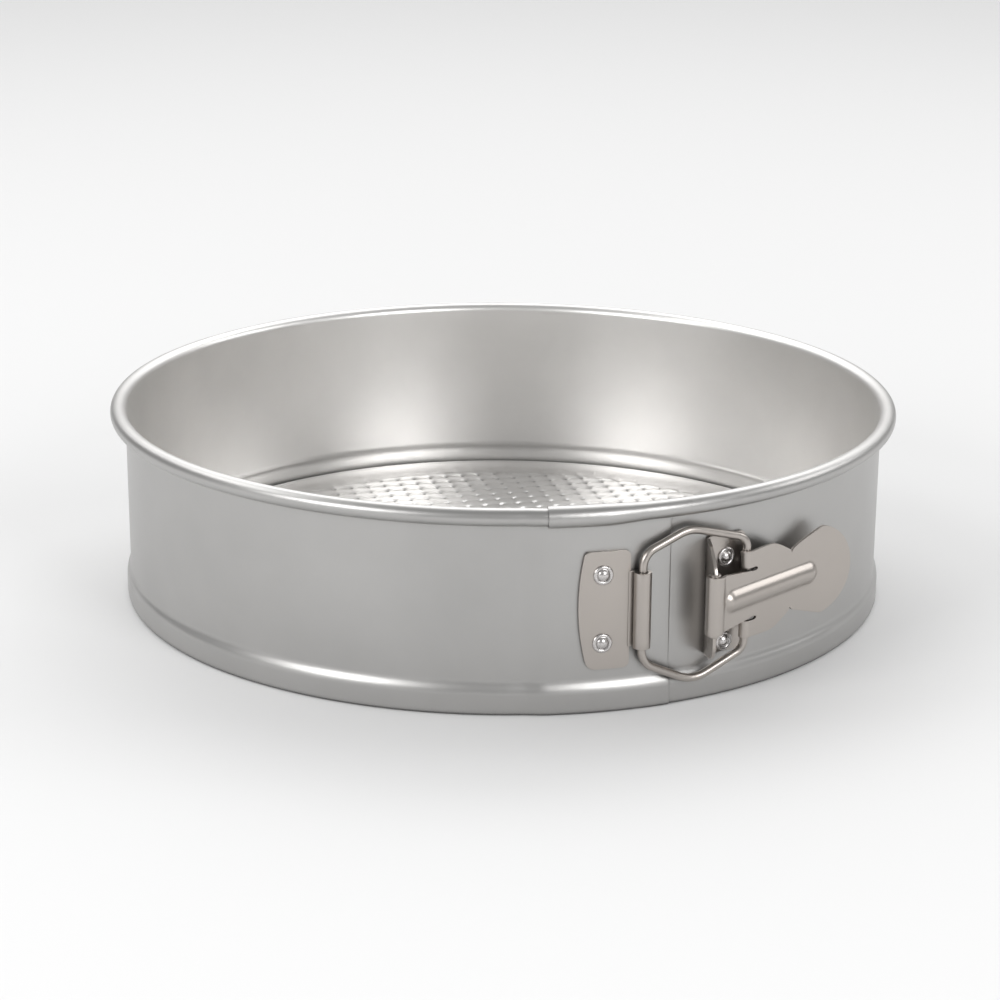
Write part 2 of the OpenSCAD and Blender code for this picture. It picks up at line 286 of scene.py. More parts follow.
def facing_out(nodes, links, coords):
    """1 where a face looks away from the pan's axis, 0 where it looks at it, and between for the rest."""
    radial = nodes.new("ShaderNodeVectorMath")
    radial.operation = "NORMALIZE"
    links.new(from_axis(nodes, links, coords), radial.inputs[0])
    facing = nodes.new("ShaderNodeVectorMath")
    facing.operation = "DOT_PRODUCT"
    links.new(radial.outputs["Vector"], facing.inputs[0])
    links.new(coords.outputs["Normal"], facing.inputs[1])
    share = nodes.new("ShaderNodeMapRange")
    share.inputs["From Min"].default_value = -NEARLY_FACING
    share.inputs["From Max"].default_value = NEARLY_FACING
    links.new(facing.outputs["Value"], share.inputs["Value"])
    return share.outputs["Result"]


def times(nodes, links, a, b):
    """The product of two colours or shares."""
    mix = nodes.new("ShaderNodeMix")
    mix.data_type = "RGBA"
    mix.blend_type = "MULTIPLY"
    mix.inputs["Factor"].default_value = 1.0
    links.new(a, mix.inputs["A"])
    links.new(b, mix.inputs["B"])
    return mix.outputs["Result"]


def painted_pit_shade(nodes, links, coords):
    """Painted shade: a share of the colour that falls off towards the bottom of the pits in the disc's
    panel.
    """
    split = nodes.new("ShaderNodeSeparateXYZ")
    links.new(coords.outputs["Object"], split.inputs["Vector"])
    depth = nodes.new("ShaderNodeMapRange")
    depth.interpolation_type = "SMOOTHSTEP"
    depth.inputs["From Min"].default_value = (PLATEAU_Z + DOME_TOP - 0.9 * DOME_H) * MM
    depth.inputs["From Max"].default_value = (PLATEAU_Z + DOME_TOP - 0.35 * DOME_H) * MM
    depth.inputs["To Min"].default_value = PIT_SHADE_TONE
    links.new(split.outputs["Z"], depth.inputs["Value"])
    radius = nodes.new("ShaderNodeVectorMath")
    radius.operation = "LENGTH"
    links.new(from_axis(nodes, links, coords), radius.inputs[0])
    beyond = nodes.new("ShaderNodeMath")
    beyond.operation = "GREATER_THAN"
    beyond.inputs[1].default_value = PANEL_R * MM
    links.new(radius.outputs["Value"], beyond.inputs[0])
    share = nodes.new("ShaderNodeMath")
    share.operation = "MAXIMUM"
    links.new(depth.outputs["Result"], share.inputs[0])
    links.new(beyond.outputs["Value"], share.inputs[1])
    return share.outputs["Value"]


def noise(nodes, links, coords, size_mm, detail, rough):
    """A noise texture with features of about size_mm."""
    texture = nodes.new("ShaderNodeTexNoise")
    texture.inputs["Scale"].default_value = 1 / (size_mm * MM)
    texture.inputs["Detail"].default_value = detail
    texture.inputs["Roughness"].default_value = rough
    links.new(coords.outputs["Object"], texture.inputs["Vector"])
    return texture.outputs["Fac"]


def blotches(nodes, links, coords, color, tone):
    """The metal's colour, with slow changes of tone."""
    tint = nodes.new("ShaderNodeValToRGB")
    dark, light = tint.color_ramp.elements
    dark.position = 0.3
    dark.color = [c * (1 - tone) for c in color] + [1]
    light.position = 0.7
    light.color = [min(1, c * (1 + tone)) for c in color] + [1]
    links.new(noise(nodes, links, coords, BLOTCH, 4.0, 0.5), tint.inputs["Fac"])
    return tint.outputs["Color"]


def painted_outside_shade(nodes, links, coords, outside):
    """Painted shade: 1 inside the pan and the share outside on the faces that look away from its axis."""
    outer_shade = nodes.new("ShaderNodeValToRGB")
    outer_shade.color_ramp.elements[0].color = (1, 1, 1, 1)
    outer_shade.color_ramp.elements[1].color = (outside, outside, outside, 1)
    links.new(facing_out(nodes, links, coords), outer_shade.inputs["Fac"])
    return outer_shade.outputs["Color"]


def painted_crevice_shade(nodes, links):
    """Painted shade: a share of the colour that falls off in the narrow places that light hardly reaches.
    """
    occlusion = nodes.new("ShaderNodeAmbientOcclusion")
    occlusion.samples = 6
    occlusion.inputs["Distance"].default_value = CREVICE_SHADE_REACH * MM
    share = nodes.new("ShaderNodeMapRange")
    share.inputs["From Min"].default_value = 0.2
    share.inputs["From Max"].default_value = 0.8
    share.inputs["To Min"].default_value = CREVICE_SHADE_TONE
    links.new(occlusion.outputs["AO"], share.inputs["Value"])
    return share.outputs["Result"]


def metal(name, color, rough, grain_mm, grain, tone=0.03, outside=1.0, pits=False):
    """Satin metal: a fine bump, slow changes of tone, and painted shade in narrow places.

    Faces that look away from the pan's axis keep only the share outside of the colour, which paints shade
    on them.
    """
    mat = bpy.data.materials.new(name)
    mat.use_nodes = True
    nodes, links = mat.node_tree.nodes, mat.node_tree.links
    shader = nodes["Principled BSDF"]
    shader.inputs["Metallic"].default_value = 1.0
    coords = nodes.new("ShaderNodeTexCoord")

    shade = blotches(nodes, links, coords, color, tone)
    # painted shade on the faces that look away from the pan's axis
    if outside < 1.0:
        shade = times(nodes, links, shade, painted_outside_shade(nodes, links, coords, outside))
    # painted shade towards the bottom of the disc's pits
    if pits:
        shade = times(nodes, links, shade, painted_pit_shade(nodes, links, coords))
    # painted shade in narrow places, darkened by ambient occlusion
    shade = times(nodes, links, shade, painted_crevice_shade(nodes, links))
    links.new(shade, shader.inputs["Base Color"])

    fine = noise(nodes, links, coords, grain_mm, 3.0, 0.65)
    spread = nodes.new("ShaderNodeMapRange")
    spread.inputs["To Min"].default_value = rough - ROUGH_SPREAD
    spread.inputs["To Max"].default_value = rough + ROUGH_SPREAD
    links.new(fine, spread.inputs["Value"])
    links.new(spread.outputs["Result"], shader.inputs["Roughness"])

    bump = nodes.new("ShaderNodeBump")
    bump.inputs["Strength"].default_value = grain
    bump.inputs["Distance"].default_value = GRAIN_H * MM
    links.new(fine, bump.inputs["Height"])
    links.new(bump.outputs["Normal"], shader.inputs["Normal"])
    return mat


TIN_COLOR = (0.80, 0.79, 0.775)
DISC_COLOR = (0.66, 0.65, 0.64)
NICKEL_COLOR = (0.47, 0.435, 0.405)
RIVET_COLOR = (0.62, 0.60, 0.59)
# outside=0.58 paints shade on the band's faces that look away from the pan's axis
tinplate = metal("tinplate", TIN_COLOR, rough=0.38, grain_mm=0.5, grain=0.8, outside=0.58)
# pits=True paints shade towards the bottom of the disc's pits
disc_tin = metal("disc_tinplate", DISC_COLOR, rough=0.30, grain_mm=0.5, grain=0.6, pits=True)
nickel = metal("satin_nickel", NICKEL_COLOR, rough=0.32, grain_mm=0.4, grain=0.4, tone=0.02)
lever_nickel = metal("satin_nickel_lever", NICKEL_COLOR, rough=0.34, grain_mm=0.4, grain=0.4, tone=0.02)
rivet_steel = metal("bright_rivet", RIVET_COLOR, rough=0.28, grain_mm=0.5, grain=0.6)


# ---------------------------------------------------------------- side band
FOOT_R = 1.0                # bend between the bead and the lip
FOOT_LIFT = 0.56            # how far the inner layer's foot stays inside the outer one's
EDGE_DROP = 0.45            # how far the outer end's free edge rolls in
RIM_LAP = 12                # degrees before the front where the rim's two layers change over


def band_line(h, shift, grow, hang, lip, foot_lift):
    """One face of the band's section, h off the sheet's middle, from its foot lip to its rim's end.

    shift moves the wall out, grow widens the rim's curl, and hang leaves that share of the curl off.
    """
    mid = BAND_R + SHEET / 2 + shift
    bead = mid + BEAD_OUT
    foot_r = FOOT_R - foot_lift
    bead_deg = 2 * degrees(atan2(BEAD_OUT, BEAD_CURVE_H))
    s_r = BEAD_CURVE_H / (2 * sin(radians(bead_deg)))
    curl = RIM_CURL_R - SHEET / 2 + grow
    curl_c = mid + curl
    curl_top = PAN_H - RIM_CURL_R
    foot_z = FOOT_R + SHEET / 2
    lip_r = bead - foot_r - lip
    line = [(lip_r + (bead - foot_r - lip_r) * i / 3, foot_z - foot_r - h) for i in range(3)]
    line += arc(bead - foot_r, foot_z, foot_r + h, -90, 0, 8)
    line += arc(bead - s_r, BEAD_H - BEAD_CURVE_H, s_r + h, 0, bead_deg, 9)
    line += arc(mid + s_r, BEAD_H, s_r - h, 180 + bead_deg, 180, 9)
    wall = spaced(BEAD_H, curl_top, 6)[1:-1]
    line += [(mid + h, z) for z in wall]
    over = arc(curl_c, curl_top, curl - h, 180, -130, 38)
    for i in range(len(over)):
        t = (1 - hang) * i
        k = int(t)
        p, q = over[k], over[min(k + 1, len(over) - 1)]
        line.append((p[0] + (q[0] - p[0]) * (t - k), p[1] + (q[1] - p[1]) * (t - k)))
    return line


def band_ring(deg):
    """The band's closed section at an angle, which runs on past a full turn where the band laps itself."""
    turn = deg - 360
    on_top = turn > INNER_END - JOGGLE - 1
    shift = PLY * smooth((turn - INNER_END + JOGGLE) / JOGGLE) if on_top else 0.0
    hang = smooth((turn + RIM_LAP) / 5) if on_top else 0.0
    under = deg < OUTER_END
    grow = PLY * (1 - smooth((deg + RIM_LAP) / 7)) if deg < 0 else 0.0
    lip = LIP_W_UNDER if under else LIP_W
    foot_lift = FOOT_LIFT if under else 0.0
    near_edge = (turn - OUTER_END) / EDGE_ROLL + 1 if on_top else 0.0
    if near_edge > 0:
        shift -= EDGE_DROP * (1 - sqrt(max(0.0, 1 - near_edge ** 2)))
    outer = band_line(SHEET / 2, shift, grow, hang, lip, foot_lift)
    inner = band_line(-SHEET / 2, shift, grow, hang, lip, foot_lift)
    ring = outer + inner[::-1]
    return [polar(r, deg, z) for r, z in ring]


def make_band():
    # sections lie close together round the latch and where the layers cross
    stations = spaced(INNER_END, OUTER_END - 0.05, 0.5)
    stations += spaced(OUTER_END + 0.05, 10, 0.5)
    stations += spaced(11, 335, 1.0)
    stations += spaced(335.5, 360 + OUTER_END - EDGE_ROLL, 0.5)
    stations += [360 + OUTER_END - EDGE_ROLL * (1 - t) for t in (0.3, 0.55, 0.75, 0.9, 1.0)]
    verts, faces = swept([band_ring(d) for d in stations])
    piece("band", verts, faces, tinplate, "band", "side_band", sharp=50)


# ---------------------------------------------------------------- base disc
CROWN_SHARE = 0.4           # how much of the pattern's height is the low domes, the rest being the pits
BORDER_WAVE = 0.9
RING_WAVE = 0.5             # height of the ring's dimples beside the panel, which fade outward
GROOVE = [(-0.35, 0.0), (-0.12, -0.12), (0.05, -0.16), (0.25, -0.02), (0.5, 0.1)]
RING_ROWS = [1.2, 2.2, 3.4, 4.8, 6.4, 8.2, 10.2, 12.4, 14.4]
UNDER_SIDES = 160


def waffle(x, y):
    """Height of the pressed pattern, from 0 in a pit to 1 on the low dome between four pits."""
    a = radians(WAFFLE_TURN)
    u = (x * cos(a) + y * sin(a)) / WAFFLE_PITCH
    v = (y * cos(a) - x * sin(a)) / WAFFLE_PITCH
    du, dv = u - round(u), v - round(v)
    crown = 1 - 2 * (du * du + dv * dv)
    pit = min(1.0, hypot(0.5 - abs(du), 0.5 - abs(dv)) * WAFFLE_PITCH / PIT_R)
    return CROWN_SHARE * crown + (1 - CROWN_SHARE) * pit * (2 - pit)


def border_r(angle):
    """The wavy border of the domed panel at an angle in radians."""
    return PANEL_R + BORDER_WAVE * (waffle(PANEL_R * cos(angle), PANEL_R * sin(angle)) - 0.5)


def disc_z(r, x, y):
    """Height of the disc's upper face."""
    dome = waffle(x, y)
    if r <= PANEL_R:
        return PLATEAU_Z + DOME_TOP - DOME_H * (1 - dome)
    fade = 1 - smooth((r - PANEL_R - 4) / 11)
    return RING_Z + RING_WAVE * fade * (dome - 0.8)


def panel_points(step):
    """The panel's points on a square grid that follows the pressed pattern, by their place in it."""
    turn = Matrix.Rotation(radians(WAFFLE_TURN), 2)
    reach = int(PANEL_R / step) + 9
    inside = PANEL_R - 1.2 * step
    half = WAFFLE_PITCH / 2
    points = {}
    for i in range(-reach, reach):
        for j in range(-reach, reach):
            p = turn @ Vector((i * step + half, j * step + half))
            if p.length <= inside:
                points[(i, j)] = p
    return points


def make_panel():
    """The pressed panel as (verts, faces), with its border as a loop of points in order."""
    grid = panel_points(WAFFLE_PITCH / 8)
    index, verts, faces = {}, [], []
    for (i, j) in grid:
        ring = [(i, j), (i + 1, j), (i + 1, j + 1), (i, j + 1)]
        if not all(c in grid for c in ring):
            continue
        for c in ring:
            if c not in index:
                index[c] = len(verts)
                p = grid[c]
                verts.append((p.x, p.y, disc_z(p.length, p.x, p.y)))
        ids = [index[c] for c in ring]
        faces.append(tuple(ids))
    sides = {(a, b) for face in faces for a, b in zip(face, face[1:] + face[:1])}
    follow = {a: b for a, b in sides if (b, a) not in sides}
    loop = [min(follow)]
    while follow[loop[-1]] != loop[0]:
        loop.append(follow[loop[-1]])
    return verts, faces, loop


def round_row(angles, r_at, z_at):
    """One row of points round the disc; both functions take the angle, and z_at the radius too."""
    row = []
    for a in angles:
        r = r_at(a)
        row.append((r * cos(a), r * sin(a), z_at(r, a)))
    return row


def outer_rows(angles):
    """Rows outward from the panel: a fine groove at its border, the soft ring and the rolled edge."""
    rows = []
    for off, dip in GROOVE:
        zone_r = PANEL_R + (-0.01 if off < 0 else 0.01)
        rows.append(round_row(angles, lambda a: border_r(a) + off,
                              lambda r, a: disc_z(zone_r, r * cos(a), r * sin(a)) + dip))
    for off in RING_ROWS:
        settle = 1 - smooth(off / 8)
        rows.append(round_row(angles, lambda a: PANEL_R + off + (border_r(a) - PANEL_R) * settle,
                              lambda r, a: disc_z(r, r * cos(a), r * sin(a))))
    curl_z = DISC_EDGE_Z + DISC_CURL
    curl_r = DISC_EDGE_R - DISC_CURL
    start = 180 - degrees(asin((RING_Z - curl_z) / DISC_CURL))
    roll = arc(curl_r, curl_z, DISC_CURL, start, -140, 16)
    roll += arc(curl_r, curl_z, DISC_CURL - DISC_SHEET, -140, 90, 5)
    for edge_r, z in roll:
        rows.append(round_row(angles, lambda a: edge_r, lambda r, a: z))
    return rows


def disc_underside():
    """The flat underside, which ends inside the rolled edge."""
    radii = [2.0] + spaced(8, 110, 6) + [PANEL_R + 2, 120, DISC_EDGE_R - DISC_CURL - 0.4]
    verts = []
    for r in radii:
        low = PLATEAU_Z + (0.1 if r < PANEL_R else 0.0) - DISC_SHEET
        ring = [2 * pi * k / UNDER_SIDES for k in range(UNDER_SIDES)]
        verts += [(r * cos(a), r * sin(a), low) for a in ring]
    faces = [tuple(reversed(f)) for f in strip_faces(len(radii), UNDER_SIDES, closed=True)]
    faces.append(tuple(range(UNDER_SIDES)))
    return verts, faces


def make_disc():
    verts, faces, previous = make_panel()
    angles = [atan2(verts[i][1], verts[i][0]) for i in previous]
    count = len(previous)
    for row in outer_rows(angles):
        base = len(verts)
        verts += row
        for k in range(count):
            n = (k + 1) % count
            faces.append((previous[k], previous[n], base + n, base + k))
        previous = list(range(base, base + count))
    verts, faces = join_meshes([(verts, faces), disc_underside()])
    piece("base", verts, faces, disc_tin, "base", "base_disc", sharp=60)


# ---------------------------------------------------------------- wire bail
BAIL_U, BAIL_V = 15.6, 2.35     # the bail's leg in the lever, from the pivot bar
LEVER_FRONT = 1.75              # from the pivot bar to the lever's front face
# corners as (distance from the knuckle, height); None stands for the leg in the lever
BAIL_CORNERS = [(0, 17.1), (15.6, 23.6), (None, 18.2), (None, -18.2), (18, -26.6), (0, -18.1)]
BAIL_BENDS = [6, 11, 4.5, 5, 11, 7]
WIRE_SIDES = 24


def lever_point(u, v, z):
    """A point of the lever: u along it and v towards the wall from the pivot bar, z from its middle."""
    a = radians(LEVER_DEG)
    return (BAR[0] + u * cos(a) - v * sin(a), BAR[1] + u * sin(a) + v * cos(a), LATCH_Z + z)


def bail_path(width):
    """The wire's middle line as (distance from the knuckle, height), with its straights cut short."""
    corners = [(width if u is None else u, z) for u, z in BAIL_CORNERS]
    outline = rounded(corners, BAIL_BENDS, 10)
    path = []
    for i, p in enumerate(outline):
        q = outline[(i + 1) % len(outline)]
        steps = max(1, int(hypot(q[0] - p[0], q[1] - p[1]) / 3))
        path += [(p[0] + (q[0] - p[0]) * k / steps, p[1] + (q[1] - p[1]) * k / steps) for k in range(steps)]
    return path


def make_bail():
    leg = lever_point(BAIL_U, BAIL_V - LEVER_FRONT, 0)
    width = hypot(leg[0] - KNUCKLE[0], leg[1] - KNUCKLE[1])
    across = ((leg[0] - KNUCKLE[0]) / width, (leg[1] - KNUCKLE[1]) / width)
    path = bail_path(width)
    verts, count = [], len(path)
    for i, p in enumerate(path):
        a, b = path[i - 1], path[(i + 1) % count]
        along = Vector((b[0] - a[0], b[1] - a[1])).normalized()
        for k in range(WIRE_SIDES):
            t = 2 * pi * k / WIRE_SIDES
            u = p[0] + WIRE_R * cos(t) * along.y
            z = p[1] - WIRE_R * cos(t) * along.x
            out = WIRE_R * sin(t)
            verts.append((KNUCKLE[0] + u * across[0] + out * across[1],
                          KNUCKLE[1] + u * across[1] - out * across[0], LATCH_Z + z))
    faces = strip_faces(count, WIRE_SIDES, closed=True)
    last = (count - 1) * WIRE_SIDES
    for k in range(WIRE_SIDES):
        n = (k + 1) % WIRE_SIDES
        faces.append((last + k, last + n, n, k))
    piece("bail_wire", verts, faces, nickel, "bail", "wire_bail", sharp=60)


# ---------------------------------------------------------------- lever
LEVER_EDGE, PLATE_EDGE = 0.16, 0.2  # widths of the rounded edges of the lever and bracket, and of the plate
# Places along the lever are measured from the pivot bar, and heights from its middle.
CURL_HALF_H = 9.4
CURL_LENGTH = 10.8              # of sheet, round the pivot bar
STRIP_END = 7.5                 # half the middle strip's height, between the slots
EAR_IN, EAR_OUT = 8.7, 14.1
EAR_TURN = 100
SLOT_END = 18.4
BUMP = (27.0, 14.7)
NECK = (35.2, 10.0)
TAB_U, TAB_R = 47.2, 15.0
TAB_SIDE_SLOPE = 0.32
RIB = (6.6, 44.0)
RIB_HALF, RIB_RISE = 3.5, 1.8
RIB_FILLET = 0.35
RIB_DROPPED = -2.0              # how far under the sheet the rib's arc no longer lifts it
STEP_FROM, STEP_LENGTH = 0.6, 2.8   # where the sheet steps out from the curl to the front
TAB_BENDS = ((41.0, -4.0), (47.0, -3.0), (53.0, -4.0))  # place and degrees of each bend
BEND_SOFT = 2.5


def lever_half_height(u):
    """Half the lever's height at u, beyond its ears: a bump, a neck, and the flaring round tab."""
    bump_u, bump_h = BUMP
    neck_u, neck_h = NECK
    rise = EAR_OUT + (bump_h - EAR_OUT) * (u - BAIL_U) / (bump_u - BAIL_U)
    fall = bump_h + (neck_h - bump_h) * (u - bump_u) / (neck_u - bump_u)
    side = neck_h + TAB_SIDE_SLOPE * (u - neck_u)
    end = sqrt(max(0.0, TAB_R ** 2 - (u - TAB_U) ** 2)) if u > TAB_U - TAB_R else TAB_R
    body = soft_min(rise, fall, 1.6)
    if u < neck_u:
        return -soft_min(-body, -side, 0.15)
    return soft_min(side, end, 0.3)


def soft_min(a, b, blend):
    """The smaller of two values, with a rounded change from one to the other."""
    return 0.5 * (a + b - sqrt((a - b) ** 2 + blend ** 2))


def rib_height(u, z):
    """Rise of the pressed rib, with a small fillet at its foot."""
    du = max(RIB[0] - u, u - RIB[1], 0.0)
    d = hypot(du, z)
    r = (RIB_HALF ** 2 + RIB_RISE ** 2) / (2 * RIB_RISE)
    crown = sqrt(max(0.0, r * r - d * d)) - (r - RIB_RISE)
    if crown <= RIB_DROPPED:
        return 0.0
    far_off = -soft_min(1.0, 0.0, RIB_FILLET)
    return -soft_min(-crown, 0.0, RIB_FILLET) - far_off


def tab_bend(t, slope):
    """Rise and slope at distance t past one soft bend of the thumb tab."""
    if t < -BEND_SOFT:
        return 0.0, 0.0
    if t > BEND_SOFT:
        return t * slope, slope
    return slope * (t + BEND_SOFT) ** 2 / (4 * BEND_SOFT), slope * (t + BEND_SOFT) / (2 * BEND_SOFT)


def lever_path(s):
    """Where the sheet's front face runs, seen from above: (u, v) and the direction its back lies in."""
    mid_r = BAR_R + 0.05 + LEVER_SHEET
    if s < 0:
        a = radians(-90) + s / mid_r
        return mid_r * cos(a), mid_r * sin(a), (-cos(a), -sin(a))
    step = mid_r - LEVER_FRONT
    t = (s - STEP_FROM) / STEP_LENGTH
    nudge = 0.05 / STEP_LENGTH
    v = step * smooth(t) - mid_r
    slope = step * (smooth(t + nudge) - smooth(t - nudge)) / 0.1
    for at, deg in TAB_BENDS:
        rise, lean = tab_bend(s - at, tan(radians(deg)))
        v += rise
        slope += lean
    n = hypot(1, slope)
    return s, v, (-slope / n, 1 / n)


def sheet_height(s, zone, t):
    """Height of the lever's sheet at s along it, where t runs across one of its three zones."""
    in_curl = CURL_HALF_H + (STRIP_END + 0.2 - CURL_HALF_H) * max(0, s) / BAIL_U
    strip = STRIP_END if s > BAIL_U else in_curl
    full = lever_half_height(s) if s >= BAIL_U else EAR_OUT
    ear = EAR_IN
    if s > SLOT_END:
        squeeze = min(1.0, full / (EAR_IN + 0.6))
        strip, ear = STRIP_END * squeeze, EAR_IN * squeeze
    # the slots end round
    near_end = smooth((s - SLOT_END + 0.8) / 0.8) * (1 - smooth((s - SLOT_END) / 0.4)) * 0.35
    if zone == "mid":
        return t * (strip + near_end * abs(t) ** 8)
    z = ear - near_end * (1 - t) + (full - ear) * t
    return z if zone == "high" else -z


def lever_sheet(inner_cols, outer_cols):
    """The lever without its ears: rows run along it, columns across its height."""
    rows = spaced(-CURL_LENGTH, 0, 0.55)[:-1] + spaced(0, BAIL_U, 0.5)[:-1]
    rows += spaced(BAIL_U, SLOT_END, 0.42)[:-1] + spaced(SLOT_END, TAB_U, 0.5)[:-1]
    rows += [TAB_U + TAB_R * sin(radians(a)) for a in spaced(0, 89.2, 2.6)]
    columns = [("low", t) for t in reversed(outer_cols)] + [("mid", t) for t in inner_cols]
    columns += [("high", t) for t in outer_cols]
    low_n = len(outer_cols)
    mid_n = len(inner_cols)

    def skip(i, j):
        s = rows[i]
        if j in (low_n - 1, low_n + mid_n - 1):
            return s < SLOT_END - 0.01
        outer_column = j < low_n - 1 or j >= low_n + mid_n
        return outer_column and s < BAIL_U - 0.01

    def to_row(i, j, depth):
        s = rows[i]
        z = sheet_height(s, *columns[j])
        u, v, (bu, bv) = lever_path(s)
        lift = rib_height(s, z) if s > 1 else 0.0
        return lever_point(u + bu * (depth - lift), v + bv * (depth - lift), z)

    return thick_sheet((len(rows), len(columns)), skip, to_row, LEVER_SHEET)


def lever_ear(side, outer_cols):
    """One ear, curled round the bail's leg; side is 1 for the upper one."""
    ear_r = WIRE_R + 0.15 + LEVER_SHEET
    turns = spaced(0, EAR_TURN, 8)
    heights = [side * (EAR_IN + (EAR_OUT - EAR_IN) * t) for t in outer_cols]

    def to_row(i, j, depth):
        a = radians(-90 - turns[i])
        r = ear_r - depth
        return lever_point(BAIL_U + r * cos(a), BAIL_V - LEVER_FRONT + r * sin(a), heights[j])

    return thick_sheet((len(turns), len(heights)), whole, to_row, LEVER_SHEET)


def make_lever():
    inner_cols = spaced(-1, 1, 1 / 14)
    outer_cols = spaced(0, 1, 1 / 9)
    parts = [lever_sheet(inner_cols, outer_cols), lever_ear(-1, outer_cols), lever_ear(1, outer_cols)]
    verts, faces = join_meshes(parts)
    obj = piece("lever_body", verts, faces, lever_nickel, "lever", "lever")
    soften(obj, LEVER_EDGE)


# ---------------------------------------------------------------- hinge plate
def wall_plate(r, mid_deg):
    """Maps (x along the wall, z, depth behind the front face) for a plate on the wall at radius r."""
    def place(x, z, depth):
        front = r + PLATE - depth
        return polar(front, mid_deg + degrees(x / r), LATCH_Z + z)
    return place


def plate_rows(left, right, z0, z1, corner, cols=14):
    """Rows of a plate whose ends are functions of z; rows crowd near the rounded corners."""
    zs = [z0 + corner * (1 - cos(radians(a))) for a in spaced(0, 90, 9)]
    zs += spaced(z0 + corner, z1 - corner, 1.2)[1:-1]
    zs += [z1 - corner * (1 - cos(radians(a))) for a in reversed(spaced(0, 90, 9))]
    points = []
    for z in zs:
        a, b = left(z), right(z)
        points.append([(a + (b - a) * k / cols, z) for k in range(cols + 1)])
    return points


def corner_pull(z, z0, z1, r):
    """How far a rounded corner of radius r pulls a side in at height z."""
    d = min(z - z0, z1 - z)
    return 0.0 if d >= r else r - sqrt(max(0.0, r * r - (r - d) ** 2))


def hinge_plate_sheet(x0, x1):
    """The riveted plate: a bowed left side, a straight right side, and rounded corners."""
    z0, z1 = -19.6, 18.4
    bow, bow_z = 2.4, 1.5
    corner = 2.4

    def left(z):
        return x0 + bow * ((z - bow_z) / 19) ** 2 + corner_pull(z, z0, z1, corner if z < 0 else 1.3)

    def right(z):
        return x1 - corner_pull(z, z0, z1, 2.0)

    points = plate_rows(left, right, z0, z1, corner)
    place = wall_plate(FLAP_OUT_R, PLATE_DEG)

    def to_row(i, j, depth):
        return place(*points[i][j], depth)

    return thick_sheet((len(points), len(points[0])), whole, to_row, PLATE)


def knuckle_sheet(x1):
    """A web that leaves the plate at wall level and rolls round the bail's leg, back to the wall."""
    low, high = -12.8, 11.6
    wrap = KNUCKLE_R - WIRE_R - 0.3
    turn = radians(KNUCKLE_DEG)
    out = Vector((sin(turn), -cos(turn)))
    side = Vector((cos(turn), sin(turn)))
    web_start = PLATE_DEG + degrees((x1 - 0.6) / FLAP_OUT_R)
    path = []
    for deg in spaced(web_start, KNUCKLE_DEG, 0.4)[:-1]:
        a = radians(deg)
        n = Vector((sin(a), -cos(a)))
        path.append((n * (FLAP_OUT_R + 0.05), n))
    for a in spaced(-90, 222, 6):
        n = out * sin(radians(a)) + side * cos(radians(a))
        path.append((Vector(KNUCKLE) + n * KNUCKLE_R, -n))
    zs = spaced(low, high, 2.4)

    def to_row(i, j, depth):
        p, n = path[i]
        q = p + n * depth
        return (q.x, q.y, LATCH_Z + zs[j])

    return thick_sheet((len(path), len(zs)), whole, to_row, wrap)


def make_hinge_plate():
    x0, x1 = -8.05, 8.2
    verts, faces = join_meshes([hinge_plate_sheet(x0, x1), knuckle_sheet(x1)])
    obj = piece("hinge_plate_body", verts, faces, nickel, "band", "hinge_plate")
    soften(obj, PLATE_EDGE)


# ---------------------------------------------------------------- latch bracket
WINDOW, WINDOW_DEEP = 9.8, 5.0  # half height and depth of the notch that leaves room for the lever's curl
FLANGE_LOW, FLANGE_HIGH = -19.2, 18.6


def bracket_plate():
    x0, x1 = -7.2, 7.0
    z0, z1 = -19.6, 19.0
    corner = 1.6
    points = plate_rows(lambda z: x0 + corner_pull(z, z0, z1, 1.2),
                        lambda z: x1 - corner_pull(z, z0, z1, corner), z0, z1, corner)
    place = wall_plate(WALL_OUT_R, BRACKET_DEG)

    def to_row(i, j, depth):
        return place(*points[i][j], depth)

    return thick_sheet((len(points), len(points[0])), whole, to_row, PLATE)


def bracket_flange():
    """The flange that stands on the wall and carries the pivot bar."""
    foot = Vector((8.4, -WALL_OUT_R))
    out = (Vector(BAR) - foot).normalized()
    side = Vector((-out.y, out.x))
    length = (Vector(BAR) - foot).length + 1.3
    low_side = [(FLANGE_LOW, 0.2), (-18.9, 6.4), (-17.6, 9.3), (-14.8, length)]
    high_side = [(9.4, length), (11.8, 10.1), (13.9, 8.2), (16.9, 4.2), (FLANGE_HIGH, 0.2)]
    outline = low_side + high_side
    zs = spaced(FLANGE_LOW, -WINDOW, 0.6)
    zs += spaced(-WINDOW, WINDOW, 1.4)[1:-1] + spaced(WINDOW, FLANGE_HIGH, 0.6)
    cols = 16

    def reach(z):
        if abs(z) < WINDOW - 0.01:
            return length - WINDOW_DEEP
        for (za, ra), (zb, rb) in zip(outline, outline[1:]):
            if z <= zb:
                return ra + (rb - ra) * (z - za) / (zb - za)
        return outline[-1][1]

    def to_row(i, j, depth):
        p = foot + out * (reach(zs[i]) * j / cols) + side * (depth - PLATE / 2)
        return (p.x, p.y, LATCH_Z + zs[i])

    return thick_sheet((len(zs), cols + 1), whole, to_row, PLATE)


def pivot_bar():
    low, high = -10.4, 10.0
    round_off = 0.2
    profile = [(0.2, low), (BAR_R - round_off, low), (BAR_R, low + round_off)]
    profile += [(BAR_R, high - round_off), (BAR_R - round_off, high), (0.2, high)]
    return lathe(profile, lambda x, y, h: (BAR[0] + x, BAR[1] + y, LATCH_Z + h))


def make_bracket():
    verts, faces = join_meshes([bracket_plate(), bracket_flange(), pivot_bar()])
    obj = piece("bracket_body", verts, faces, nickel, "band", "latch_bracket")
    soften(obj, LEVER_EDGE)


# ---------------------------------------------------------------- rivets
DOME_R, DOME_RISE, DOME_BASE = 1.9, 0.85, 0.5   # the small dome in the middle of each head
